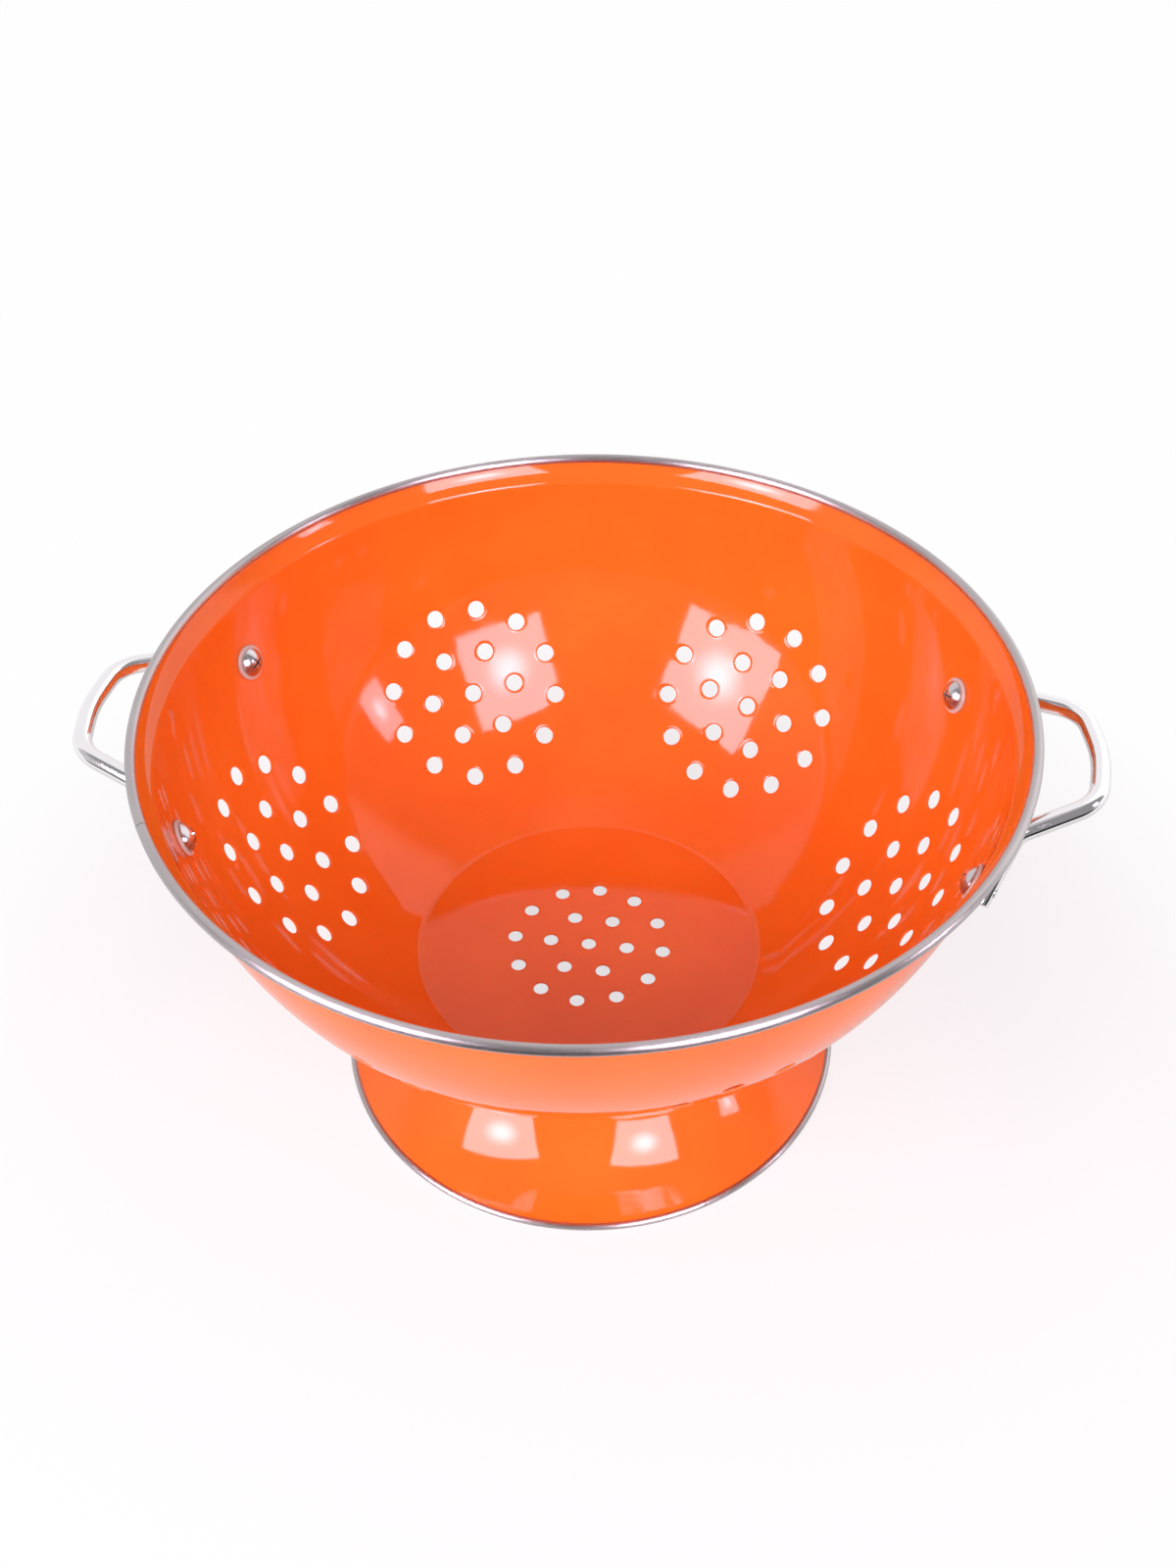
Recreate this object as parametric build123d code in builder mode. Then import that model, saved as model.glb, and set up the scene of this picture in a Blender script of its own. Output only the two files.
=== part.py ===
from build123d import *
import math
import os

# A footed kitchen colander: a perforated bowl with a banded rim, a trumpet foot with a
# beaded edge, and two wire handles that are screwed to the bowl through plain washers.
# The origin is on the table under the middle of the foot, +Z is up, and the handles lie
# along X. All lengths are in millimetres.

os.makedirs("parts", exist_ok=True)

# Driving sizes of the sheet metal and of the cuts
sheet = 0.8
overrun = 12.0

# Small round shapes that repeat or run all the way round have few sides
hole_sides = 8
strip_sides = 8
wire_sides = 16

# Driving sizes of the rim: the bowl's flange inside a steel strip that is rolled over it
rim_radius = 140.0
rim_height = 159.0
rim_strip = 0.4
rim_room = 0.94
rim_lip_gap = 0.25
rim_seam_gap = 0.25
rim_seam_azimuth = -151.0

# Driving sizes of the bowl
floor_height = 45.0
floor_radius = 60.0
wall_curve = 147.0
ledge_width = 0.9
ledge_rise = 0.8
collar_depth = 7.5
collar_lean = 14.7
curl_bend = 1.6

# Driving sizes of the drain holes
cluster_count = 6
cluster_rise = 37.6
cluster_turn = 1.9
wall_hole_radius = 3.15
wall_ring_radii = {6: 16.4, 12: 31.5}
wall_ring_turn = {6: 0.0, 12: 15.0}
floor_hole_radius = 2.55
floor_ring_radii = {6: 13.55, 12: 26.34}
floor_turn = -3.5

# Driving sizes of the foot and of the steel bead on its edge
foot_radius = 88.7
foot_neck_radius = 47.4
foot_flange = 6.0
foot_edge_slope = 19.0
bead_strip = 0.3
bead_room = 0.43
bead_lip_gap = 0.15
bead_seam_gap = 0.25
bead_seam_azimuth = -58.7

# Driving sizes of the wire handles, from the rim
wire_radius = 3.0
wire_clearance = 0.05
grip_reach = 20.2
grip_drop = 12.6
corner_reach = 16.9
corner_half_width = 19.3
leg_length = 21.9
leg_tail = 5.0
leg_slope = 45.4
shoulder_bend = 8.0
corner_bend = 12.0
grip_bend = 40.0

# Driving sizes of the screws and washers
screw_azimuth = 19.9
screw_drop = 29.0
thread_radius = 2.0
thread_clearance = 0.02
wall_clearance = 0.2
washer_radius = 6.0
washer_thickness = 1.0
washer_clearance = 0.15
washer_gap = 0.1
head_radius = 4.9
head_height = 2.6
head_edge = 0.5
recess_span = 4.6
recess_width = 1.1
recess_depth = 1.5


# A rolled strip's section is a polygon, so its flats lie nearer its middle than its corners.
strip_corner = math.pi / strip_sides


def strip_radii(room, strip):
    """Distances of a rolled strip's inner and outer corners from its middle."""
    inner = (sheet / 2 + room) / math.cos(strip_corner)
    return inner, inner + strip


def tuck(room, lip_gap):
    """How far the sheet reaches past the middle of the strip that is rolled over it."""
    return math.sqrt((sheet / 2 + room - lip_gap) ** 2 - (sheet / 2) ** 2)


def strip_section(azimuth, middle, radii, lip_gap, mouth, rotation):
    """The open ring of a rolled strip; mouth is the direction that it opens in."""
    inner, outer = radii
    with BuildSketch(Plane.XZ.rotated((0, 0, azimuth))) as section:
        with Locations(middle):
            RegularPolygon(outer, strip_sides, rotation=rotation)
            RegularPolygon(inner, strip_sides, rotation=rotation, mode=Mode.SUBTRACT)
            Rectangle(
                outer,
                sheet + 2 * lip_gap,
                rotation=mouth,
                align=(Align.MIN, Align.CENTER),
                mode=Mode.SUBTRACT,
            )
    return section.sketch


# The rim strip's tube, and the flange and curl of the bowl that fit inside it
rim_radii = strip_radii(rim_room, rim_strip)
rim_tube = rim_radii[1]
rim_middle = (rim_radius - rim_tube, rim_height - rim_tube)
flange_top = rim_middle[1] + sheet / 2
flange_end = rim_middle[0] + tuck(rim_room, rim_lip_gap)
curl_middle = rim_middle[0] - rim_tube + (sheet / 2 + rim_lip_gap) * math.tan(strip_corner)

# Corners of the bowl's inner profile, with the distance from the axis as X and height as Y
collar_slope = math.radians(collar_lean)
curl_pull = curl_bend * math.tan(math.pi / 4 - collar_slope / 2)
curl_corner = Vector(curl_middle - curl_pull, flange_top)
collar = Vector(math.sin(collar_slope), math.cos(collar_slope))
collar_foot_height = rim_height - collar_depth
collar_foot = curl_corner - collar * ((flange_top - collar_foot_height) / collar.Y)
ledge = Vector(ledge_width, ledge_rise)
crease = collar_foot - ledge
floor_edge = Vector(floor_radius, floor_height)
wall_arc = RadiusArc(floor_edge, crease, -wall_curve)
wall_middle = wall_arc.arc_center
wall_turn = wall_arc.length / wall_curve
wall_pull = wall_arc @ 0 + (wall_arc % 0) * (wall_curve * math.tan(wall_turn / 2))


def wall_plane(azimuth, height):
    """The plane that touches the bowl's inner face; its z points out of the bowl."""
    slope = math.asin((wall_middle.Y - height) / wall_curve)
    distance = wall_middle.X + wall_curve * math.cos(slope)
    turn = math.radians(azimuth)
    return Plane(
        origin=(distance * math.cos(turn), distance * math.sin(turn), height),
        x_dir=(-math.sin(turn), math.cos(turn), 0),
        z_dir=(
            math.cos(slope) * math.cos(turn),
            math.cos(slope) * math.sin(turn),
            -math.sin(slope),
        ),
    )


# Where each screw stands: its name, and the plane on the bowl's inner face
screw_places = {
    "right_back": wall_plane(screw_azimuth, rim_height - screw_drop),
    "right_front": wall_plane(-screw_azimuth, rim_height - screw_drop),
    "left_back": wall_plane(180 - screw_azimuth, rim_height - screw_drop),
    "left_front": wall_plane(180 + screw_azimuth, rim_height - screw_drop),
}


def outer_corner(corner, before, after):
    """A corner of the bowl's inner face, moved to the outer face between two directions."""
    first = before.normalized().rotate(Axis.Z, -90)
    second = after.normalized().rotate(Axis.Z, -90)
    return corner + (first + second) * (sheet / (1 + first.dot(second)))


def sheet_face(corners, wall_scale, bend):
    """One face of the bowl's sheet, from the axis to the end of the flange."""
    pull = wall_middle + (wall_pull - wall_middle) * wall_scale
    with BuildLine() as face:
        Line((0, corners[0].Y), corners[0])
        Bezier(corners[0], pull, corners[1], weights=[1, math.cos(wall_turn / 2), 1])
        Polyline(*corners[1:])
        fillet(face.vertices().sort_by_distance(corners[3])[0], bend)
    return face.line


level = Vector(1, 0)
inner_corners = [floor_edge, crease, collar_foot, curl_corner, Vector(flange_end, flange_top)]
outer_corners = [
    outer_corner(inner_corners[0], level, wall_arc % 0),
    outer_corner(inner_corners[1], wall_arc % 1, ledge),
    outer_corner(inner_corners[2], ledge, collar),
    outer_corner(inner_corners[3], collar, level),
    outer_corner(inner_corners[4], level, level),
]

# The bowl is one sheet profile turned about the axis. The wall's arc is centred beyond the
# axis, so it is drawn as a weighted curve of the same shape, which is turned without crossing
# itself. The drain holes are punched in gangs, square to the wall at each gang's middle.
with BuildPart() as bowl:
    with BuildSketch(Plane.YZ):
        with BuildLine():
            add(sheet_face(inner_corners, 1, curl_bend))
            add(sheet_face(outer_corners, 1 + sheet / wall_curve, curl_bend - sheet))
            Line((0, inner_corners[0].Y), (0, outer_corners[0].Y))
            Line(inner_corners[4], outer_corners[4])
        make_face()
    revolve(axis=Axis.Z)

    cluster_height = floor_height + cluster_rise
    for cluster in range(cluster_count):
        middle = wall_plane(360 / cluster_count * cluster, cluster_height)
        with BuildSketch(middle.offset(-overrun)):
            RegularPolygon(wall_hole_radius, hole_sides)
            for count, ring in wall_ring_radii.items():
                with PolarLocations(ring, count, cluster_turn + wall_ring_turn[count]):
                    RegularPolygon(wall_hole_radius, hole_sides)
        extrude(amount=2 * overrun, mode=Mode.SUBTRACT)

    with BuildSketch(Plane.XY.offset(floor_height - overrun)):
        RegularPolygon(floor_hole_radius, hole_sides)
        for count, ring in floor_ring_radii.items():
            with PolarLocations(ring, count, floor_turn):
                RegularPolygon(floor_hole_radius, hole_sides)
    extrude(amount=2 * overrun, mode=Mode.SUBTRACT)

    for place in screw_places.values():
        with BuildSketch(place.offset(-overrun)):
            Circle(thread_radius + wall_clearance)
        extrude(amount=2 * overrun, mode=Mode.SUBTRACT)

# The rim strip is a rolled ring whose two ends meet at a narrow butt seam.
rim_seam = math.degrees(rim_seam_gap / rim_radius)
rim_start = rim_seam_azimuth + rim_seam / 2
with BuildPart() as rim_band:
    add(strip_section(rim_start, rim_middle, rim_radii, rim_lip_gap, 180, 0))
    revolve(axis=Axis.Z, revolution_arc=360 - rim_seam)

# The foot flares from a flange under the bowl's floor to an edge inside its steel bead.
bead_radii = strip_radii(bead_room, bead_strip)
bead_tube = bead_radii[1]
bead_flat = bead_tube * math.cos(strip_corner)
bead_middle = Vector(foot_radius - bead_flat, bead_flat)
edge_slope = math.radians(foot_edge_slope)
edge_along = Vector(math.cos(edge_slope), -math.sin(edge_slope))
edge_across = Vector(math.sin(edge_slope), math.cos(edge_slope))
foot_edge = bead_middle + edge_across * (sheet / 2) + edge_along * tuck(bead_room, bead_lip_gap)
foot_top = floor_height - sheet
foot_neck = (foot_neck_radius, foot_top)

with BuildPart() as foot:
    with BuildSketch(Plane.XZ):
        with BuildLine():
            TangentArc(foot_edge, foot_neck, tangent=-edge_along)
            Line(foot_neck, (foot_neck_radius - foot_flange, foot_top))
            offset(amount=sheet, side=Side.LEFT)
        make_face()
    revolve(axis=Axis.Z)

# The bead is rolled over the foot's edge and stands on one of its flats.
bead_seam = math.degrees(bead_seam_gap / foot_radius)
bead_start = bead_seam_azimuth + bead_seam / 2
bead_mouth = 180 - foot_edge_slope
bead_turn = math.degrees(strip_corner)
with BuildPart() as foot_band:
    add(strip_section(bead_start, bead_middle, bead_radii, bead_lip_gap, bead_mouth, bead_turn))
    revolve(axis=Axis.Z, revolution_arc=360 - bead_seam)


def handle_route(side):
    """Corners of a handle's middle line; side is 1 at +X and -1 at -X."""
    seat = wall_plane(screw_azimuth, rim_height - screw_drop)
    middle = seat.origin + seat.z_dir * (sheet + wire_clearance + wire_radius)
    slope = math.radians(leg_slope)
    down = seat.x_dir * math.cos(slope) - seat.y_dir * math.sin(slope)
    tip = middle + down * leg_tail
    shoulder = middle - down * leg_length
    corner = Vector(rim_radius + corner_reach, corner_half_width, rim_height - grip_drop)
    grip = Vector(rim_radius + grip_reach, 0, rim_height - grip_drop)
    half = [tip, shoulder, corner]
    other = [Vector(point.X, -point.Y, point.Z) for point in reversed(half)]
    return [Vector(side * point.X, point.Y, point.Z) for point in half + [grip] + other]


def wire_handle(side, places):
    """A round wire bent to its route, with a tapped hole across each end."""
    route = handle_route(side)
    bends = [shoulder_bend, corner_bend, grip_bend, corner_bend, shoulder_bend]
    with BuildPart() as handle:
        with BuildLine() as wire_line:
            FilletPolyline(*route, radius=bends)
        start = Plane(origin=wire_line.line @ 0, z_dir=wire_line.line % 0)
        with BuildSketch(start):
            RegularPolygon(wire_radius, wire_sides)
        sweep()
        for place in places:
            with BuildSketch(place):
                Circle(thread_radius + thread_clearance)
            extrude(amount=overrun, mode=Mode.SUBTRACT)
    return handle


handles = {
    "handle_right": wire_handle(1, [screw_places["right_back"], screw_places["right_front"]]),
    "handle_left": wire_handle(-1, [screw_places["left_back"], screw_places["left_front"]]),
}

# A flat washer on the hollow side of the curved wall stands off its middle by the bulge.
washer_lift = washer_radius**2 / (2 * screw_places["right_back"].origin.X) + washer_gap
head_base = washer_lift + washer_thickness
screw_end = sheet + wire_clearance + 2 * wire_radius


def plain_washer(place):
    """A flat ring between a screw's head and the bowl's inner face."""
    seat = Plane(place.origin, x_dir=place.y_dir, z_dir=-place.z_dir).offset(washer_lift)
    with BuildPart() as washer:
        with BuildSketch(seat):
            Circle(washer_radius)
            Circle(thread_radius + washer_clearance, mode=Mode.SUBTRACT)
        extrude(amount=washer_thickness)
    return washer


def truss_screw(place):
    """A low domed screw: head inside the bowl, shank through the wall into the wire."""
    across = Plane(place.origin, x_dir=place.x_dir, z_dir=place.y_dir)
    top = Plane(place.origin, x_dir=place.x_dir, z_dir=-place.z_dir).offset(head_base + head_height)
    with BuildPart() as screw:
        with BuildSketch(across) as half_section:
            with BuildLine():
                tip = (0, -screw_end)
                crown = (0, head_base + head_height)
                brow = (head_radius, head_base + head_edge)
                dome = TangentArc(crown, brow, tangent=(1, 0))
                Polyline(
                    dome @ 1,
                    (head_radius, head_base),
                    (thread_radius, head_base),
                    (thread_radius, -screw_end),
                    tip,
                    crown,
                )
            make_face()
        revolve(axis=Axis(place.origin, place.z_dir))
        with BuildSketch(top):
            Rectangle(recess_span, recess_width)
            Rectangle(recess_width, recess_span)
        extrude(amount=-recess_depth, mode=Mode.SUBTRACT)
    return screw


pieces = {"bowl": bowl, "rim_band": rim_band, "foot": foot, "foot_band": foot_band, **handles}
for spot, place in screw_places.items():
    pieces["washer_" + spot] = plain_washer(place)
    pieces["screw_" + spot] = truss_screw(place)

for label, piece in pieces.items():
    piece.part.label = label
    export_step(piece.part, f"parts/{label}.step")
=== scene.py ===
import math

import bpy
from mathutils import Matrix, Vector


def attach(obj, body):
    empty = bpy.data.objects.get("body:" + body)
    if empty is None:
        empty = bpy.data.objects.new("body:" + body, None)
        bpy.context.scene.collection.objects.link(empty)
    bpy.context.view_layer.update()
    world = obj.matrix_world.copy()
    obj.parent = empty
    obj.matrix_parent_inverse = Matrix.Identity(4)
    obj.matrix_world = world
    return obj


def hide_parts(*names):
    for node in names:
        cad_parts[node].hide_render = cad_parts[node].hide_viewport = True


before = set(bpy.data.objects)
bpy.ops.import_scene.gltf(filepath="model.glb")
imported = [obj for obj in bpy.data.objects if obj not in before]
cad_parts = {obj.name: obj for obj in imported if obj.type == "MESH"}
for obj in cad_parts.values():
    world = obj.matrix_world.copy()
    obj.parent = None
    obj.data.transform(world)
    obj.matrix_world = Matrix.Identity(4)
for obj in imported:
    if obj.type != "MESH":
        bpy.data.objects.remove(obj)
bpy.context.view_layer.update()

# %% [markdown]
# # A footed colander, one piece at a time
# This lesson dresses a colander in Blender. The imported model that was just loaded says
# where every piece goes, so each new piece is made at its real size and place. The origin
# is on the table under the middle of the foot, Z is up and the handles lie along X. Sizes
# are typed in millimetres, as a workshop drawing has them, and MM turns them into metres.

MM = 0.001

# %% [markdown]
# ## The camera
# The photograph was taken from in front and above, a little to the right of the middle of
# the bowl. The place, tilt and lens come from fitting the ellipses of the rim, the floor
# and the foot. A camera starts by looking straight down, so it is tipped up about X, rolled
# about its own line of sight first, and swung about Z last.

# %% The photograph's camera
CAMERA_PLACE = (45.7, -412.0, 501.1)
CAMERA_HEADING = 6.2
CAMERA_PITCH = 47.51
CAMERA_ROLL = -1.229
CAMERA_LENS = 39.83

heading = Matrix.Rotation(math.radians(CAMERA_HEADING), 3, "Z")
pitch = Matrix.Rotation(math.radians(CAMERA_PITCH), 3, "X")
roll = Matrix.Rotation(math.radians(CAMERA_ROLL), 3, "Z")
bpy.ops.object.camera_add(
    location=Vector(CAMERA_PLACE) * MM,
    rotation=(heading @ pitch @ roll).to_euler(),
)
camera = bpy.context.object
camera.name = "photograph_camera"
camera.data.lens = CAMERA_LENS
camera.data.sensor_width = 36
camera.data.clip_start = 0.01
camera.data.clip_end = 50
bpy.context.scene.camera = camera
print("camera at", [round(value, 3) for value in camera.location])

# %% [markdown]
# ## Turning a piece on a lathe
# Everything round on a colander is made by turning: the bowl is spun from sheet over a
# form, the foot too, and the steel strips are rolled round. Blender's Spin does the same
# with a line of vertices. The line could be typed as one long list, but rounding its
# corners by a bend radius keeps the lists short and gives the soft bends of real sheet.

# %% Helpers that draw a section and spin it
WELD = 0.002


def rounded(corners, bends, step=9.0):
    """The corners of a line, with arcs of the given bend radii in place of sharp corners."""
    points = [Vector(corners[0])]
    for before, corner, after, bend in zip(corners, corners[1:], corners[2:], bends):
        corner = Vector(corner)
        back = (Vector(before) - corner).normalized()
        ahead = (Vector(after) - corner).normalized()
        opening = back.angle(ahead)
        swing = math.pi - opening
        if bend <= 0 or swing < 0.01:
            points.append(corner)
            continue
        middle = corner + (back + ahead).normalized() * (bend / math.sin(opening / 2))
        start = corner + back * (bend / math.tan(opening / 2)) - middle
        end = corner + ahead * (bend / math.tan(opening / 2)) - middle
        steps = max(2, math.ceil(math.degrees(swing) / step))
        for count in range(steps + 1):
            share = count / steps
            near = math.sin((1 - share) * swing) / math.sin(swing)
            far = math.sin(share * swing) / math.sin(swing)
            points.append(middle + start * near + end * far)
    points.append(Vector(corners[-1]))
    return points


def arc_points(middle, radius, start, end, steps):
    """Points along an arc, from one angle to another in degrees."""
    points = []
    for count in range(steps + 1):
        angle = math.radians(start + (end - start) * count / steps)
        points.append(Vector((middle[0] + radius * math.cos(angle),
                              middle[1] + radius * math.sin(angle))))
    return points


def draw_section(name, points, closed=True, azimuth=0.0):
    """Shrink a plane to one vertex, then extrude it from point to point of the section."""
    turn = math.radians(azimuth)
    places = [Vector((point[0] * math.cos(turn), point[0] * math.sin(turn), point[1])) * MM
              for point in points]
    bpy.ops.object.select_all(action="DESELECT")
    bpy.ops.mesh.primitive_plane_add(size=MM, enter_editmode=True)
    section = bpy.context.object
    section.name = name
    section.data.name = name
    bpy.ops.mesh.merge(type="CENTER")
    bpy.ops.transform.translate(value=places[0])
    for before, after in zip(places, places[1:]):
        bpy.ops.mesh.extrude_region_move(TRANSFORM_OT_translate={"value": after - before})
    if closed:
        bpy.ops.mesh.select_all(action="SELECT")
        bpy.ops.mesh.edge_face_add()
        bpy.ops.mesh.delete(type="ONLY_FACE")
    bpy.ops.object.mode_set(mode="OBJECT")
    return section


def spin_round(piece, steps, sweep=360.0):
    """Spin the section about Z; a sweep short of a full turn gets its two ends closed."""
    bpy.ops.object.mode_set(mode="EDIT")
    bpy.ops.mesh.select_all(action="SELECT")
    bpy.ops.mesh.spin(steps=steps, angle=math.radians(sweep), center=(0, 0, 0), axis=(0, 0, -1))
    bpy.ops.mesh.select_all(action="SELECT")
    bpy.ops.mesh.remove_doubles(threshold=WELD * MM)
    bpy.ops.mesh.normals_make_consistent(inside=False)
    bpy.ops.mesh.select_all(action="DESELECT")
    if sweep < 360:
        bpy.ops.mesh.select_non_manifold(use_wire=False, use_boundary=True, use_multi_face=False,
                                         use_non_contiguous=False, use_verts=False)
        bpy.ops.mesh.edge_face_add()
    bpy.ops.object.mode_set(mode="OBJECT")
    print(piece.name, "has", open_edges(piece), "open edges")


def open_edges(piece):
    """How many edges have other than two faces; a closed piece has none."""
    uses = {}
    for face in piece.data.polygons:
        for key in face.edge_keys:
            uses[key] = uses.get(key, 0) + 1
    return sum(count != 2 for count in uses.values())


def finish_piece(piece, node, material, sharp=35.0):
    """Smooth shading, the material, and the frame's say on what this piece stands for."""
    bpy.ops.object.select_all(action="DESELECT")
    piece.select_set(True)
    bpy.context.view_layer.objects.active = piece
    bpy.ops.object.shade_smooth_by_angle(angle=math.radians(sharp))
    piece.data.materials.clear()
    piece.data.materials.append(material)
    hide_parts(node)
    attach(piece, "root")
    print(piece.name, "has", len(piece.data.vertices), "vertices and",
          len(piece.data.polygons), "faces")


def apply_boolean(piece, cutter):
    """Cut one piece out of another, then throw the cutter away."""
    bpy.ops.object.select_all(action="DESELECT")
    piece.select_set(True)
    bpy.context.view_layer.objects.active = piece
    modifier = piece.modifiers.new("cut", "BOOLEAN")
    modifier.operation = "DIFFERENCE"
    modifier.solver = "EXACT"
    modifier.object = cutter
    bpy.ops.object.modifier_apply(modifier="cut")
    bpy.data.objects.remove(cutter)


# %% [markdown]
# ## The enamel
# The bowl and foot are steel under a thick gloss coat of fired orange enamel. A plain red
# and yellow mix would look like plastic, so three things are added. The colour drifts a
# little over a few centimetres, because the coat is never quite even. The surface has the
# faint waviness that makers call orange peel, about two millimetres across, which bends
# reflections slightly. The roughness is low, with faint wipe marks where hands and cloths
# have been. All the patterns read Object coordinates, so they have the same real scale on
# the bowl and on the foot. Throughout this lesson, nodes and links name the tree that is
# being built, and the helpers add to that tree.

# %% Helpers that build node materials
def new_material(name):
    """A material with a Principled shader, its nodes and links at hand."""
    material = bpy.data.materials.new(name)
    material.use_nodes = True
    nodes = material.node_tree.nodes
    shader = nodes["Principled BSDF"]
    return material, nodes, material.node_tree.links, shader


def noise_at(source, scale, detail=2.0, roughness=0.5):
    """A grey noise pattern of the given number of waves per metre."""
    noise = nodes.new("ShaderNodeTexNoise")
    noise.inputs["Scale"].default_value = scale
    noise.inputs["Detail"].default_value = detail
    noise.inputs["Roughness"].default_value = roughness
    links.new(source, noise.inputs["Vector"])
    return noise.outputs["Fac"]


def stretched(value, low, high, target_low, target_high):
    """Turn a grey pattern into a range of values for a socket."""
    scale = nodes.new("ShaderNodeMapRange")
    scale.inputs["From Min"].default_value = low
    scale.inputs["From Max"].default_value = high
    scale.inputs["To Min"].default_value = target_low
    scale.inputs["To Max"].default_value = target_high
    links.new(value, scale.inputs["Value"])
    return scale.outputs["Result"]


def blended(factor, first, second):
    """A colour between two others, as a grey pattern says."""
    mix = nodes.new("ShaderNodeMix")
    mix.data_type = "RGBA"
    mix.inputs["A"].default_value = (*first, 1)
    mix.inputs["B"].default_value = (*second, 1)
    links.new(factor, mix.inputs["Factor"])
    return mix.outputs["Result"]


def bumped(shader, height, strength, distance):
    """Send a grey pattern to the shader as small relief."""
    bump = nodes.new("ShaderNodeBump")
    bump.inputs["Strength"].default_value = strength
    bump.inputs["Distance"].default_value = distance
    links.new(height, bump.inputs["Height"])
    links.new(bump.outputs["Normal"], shader.inputs["Normal"])


def joined(operation, first, second):
    """Two grey patterns, or a pattern and a number, through one Math node."""
    node = nodes.new("ShaderNodeMath")
    node.operation = operation
    for socket, value in zip(node.inputs, (first, second)):
        if isinstance(value, float):
            socket.default_value = value
        else:
            links.new(value, socket)
    return node.outputs[0]


def distance_of(source):
    """How long a vector is, such as a place's distance from the origin."""
    node = nodes.new("ShaderNodeVectorMath")
    node.operation = "LENGTH"
    links.new(source, node.inputs[0])
    return node.outputs["Value"]


# %% Orange enamel
ENAMEL_DEEP = (0.88, 0.128, 0.0115)
ENAMEL_LIGHT = (0.92, 0.152, 0.0155)
ENAMEL_ROUGH = (0.045, 0.085)

enamel, nodes, links, shader = new_material("orange_enamel")
place = nodes.new("ShaderNodeTexCoord").outputs["Object"]
drift = noise_at(place, 28, detail=3)
links.new(blended(stretched(drift, 0.3, 0.7, 0, 1), ENAMEL_DEEP, ENAMEL_LIGHT),
          shader.inputs["Base Color"])
wipes = noise_at(place, 90, detail=4, roughness=0.6)
links.new(stretched(wipes, 0.35, 0.75, *ENAMEL_ROUGH), shader.inputs["Roughness"])
peel = noise_at(place, 420, detail=1)
bumped(shader, peel, 0.1, 0.00006)
shader.inputs["IOR"].default_value = 1.42
print("enamel ready")

# %% [markdown]
# ## The bowl
# One round sheet is drawn into a bowl: a flat floor, a wall that is a single large arc, a
# crease, and a flared collar that curves up into the rim strip. The section is drawn once
# for the inside and once for the outside, a sheet's thickness apart, and the two are joined
# into one closed line. A Solidify modifier could give the thickness too, but the section
# shows at a glance that the sheet keeps its gauge round every bend. A bend takes the place
# of the few points of the wall's arc that BEND_SKIP counts. The collar's slope falls from
# 50 to 22 degrees off the vertical: it mirrors the pale room at its foot and the softboxes
# at its top, which is what tells the eye that it is curved.

# %% Section of the bowl
SHEET = 0.8
FLOOR_HEIGHT = 45.0
FLOOR_RADIUS = 60.0
FLOOR_BEND = 4.0
WALL_CURVE = 147.0
WALL_MIDDLE = (-12.468, 172.896)
CREASE = (132.847, 150.7)
CREASE_BEND = 3.0
COLLAR_CURVE = 16.5
COLLAR_SLOPES = (50.0, 22.0)
COLLAR_STEPS = 7
FLOOR_RINGS_AT = (0.0, 8.0, 20.0, 32.0, 44.0)
FLOOR_RUN = 52.0
WALL_STEPS = 44
BEND_SKIP = 3
BOWL_STEPS = 240

lean = math.radians(COLLAR_SLOPES[0])
collar_middle = Vector(CREASE) + Vector((-math.cos(lean), math.sin(lean))) * COLLAR_CURVE
collar_line = arc_points(collar_middle, COLLAR_CURVE, -COLLAR_SLOPES[0], -COLLAR_SLOPES[1],
                         COLLAR_STEPS)


def wall_line(curve):
    """Points up the wall's arc, from near the floor to near the crease."""
    low = math.degrees(math.atan2(FLOOR_HEIGHT - WALL_MIDDLE[1], FLOOR_RADIUS - WALL_MIDDLE[0]))
    high = math.degrees(math.atan2(CREASE[1] - WALL_MIDDLE[1], CREASE[0] - WALL_MIDDLE[0]))
    return arc_points(WALL_MIDDLE, curve, low, high, WALL_STEPS)


def shifted(corners, lift):
    """The corners of a line on the other face of the sheet, mitred where it turns."""
    ways = [(after - before).normalized() for before, after in zip(corners, corners[1:])]
    normals = [Vector((way.y, -way.x)) for way in ways]
    normals = [normals[0], *normals, normals[-1]]
    return [corner + (first + second) * (lift / (1 + first.dot(second)))
            for corner, first, second in zip(corners, normals, normals[1:])]


def bowl_face(lift):
    """The line of one face of the sheet; lift is the sheet's thickness on the outer face."""
    wall = wall_line(WALL_CURVE)
    floor = shifted([Vector((FLOOR_RUN, FLOOR_HEIGHT)), wall[0], wall[BEND_SKIP]], lift)
    middle = [Vector((radius, FLOOR_HEIGHT - lift)) for radius in FLOOR_RINGS_AT]
    top = shifted([wall[-BEND_SKIP], Vector(CREASE), *collar_line[1:]], lift)
    return (middle + rounded(floor, [FLOOR_BEND + lift])[:-1]
            + wall_line(WALL_CURVE + lift)[BEND_SKIP:-BEND_SKIP]
            + rounded(top, [CREASE_BEND - lift] + [0.0] * (len(top) - 3)))


print("inside of the bowl has", len(bowl_face(0.0)), "points")

# %% Spin the bowl
bowl = draw_section("bowl_enamelled", bowl_face(0.0) + bowl_face(SHEET)[::-1], closed=False)
spin_round(bowl, BOWL_STEPS)
print("bowl blank has", len(bowl.data.polygons), "faces")

# %% [markdown]
# ## The drain holes
# The holes are punched in gangs: six round clusters of nineteen in the wall, and nineteen
# smaller ones in the floor. All the holes of a gang are parallel, because one die punches
# them in one stroke. The enamel rounds their edges, and that thin edge catches the light.
# One cutter is modelled with a waist the size of the hole and a flare at each face of the
# sheet. Each copy is slid, turned and sheared so that its flares lie in the wall, and all
# the copies are cut out at once.

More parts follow.
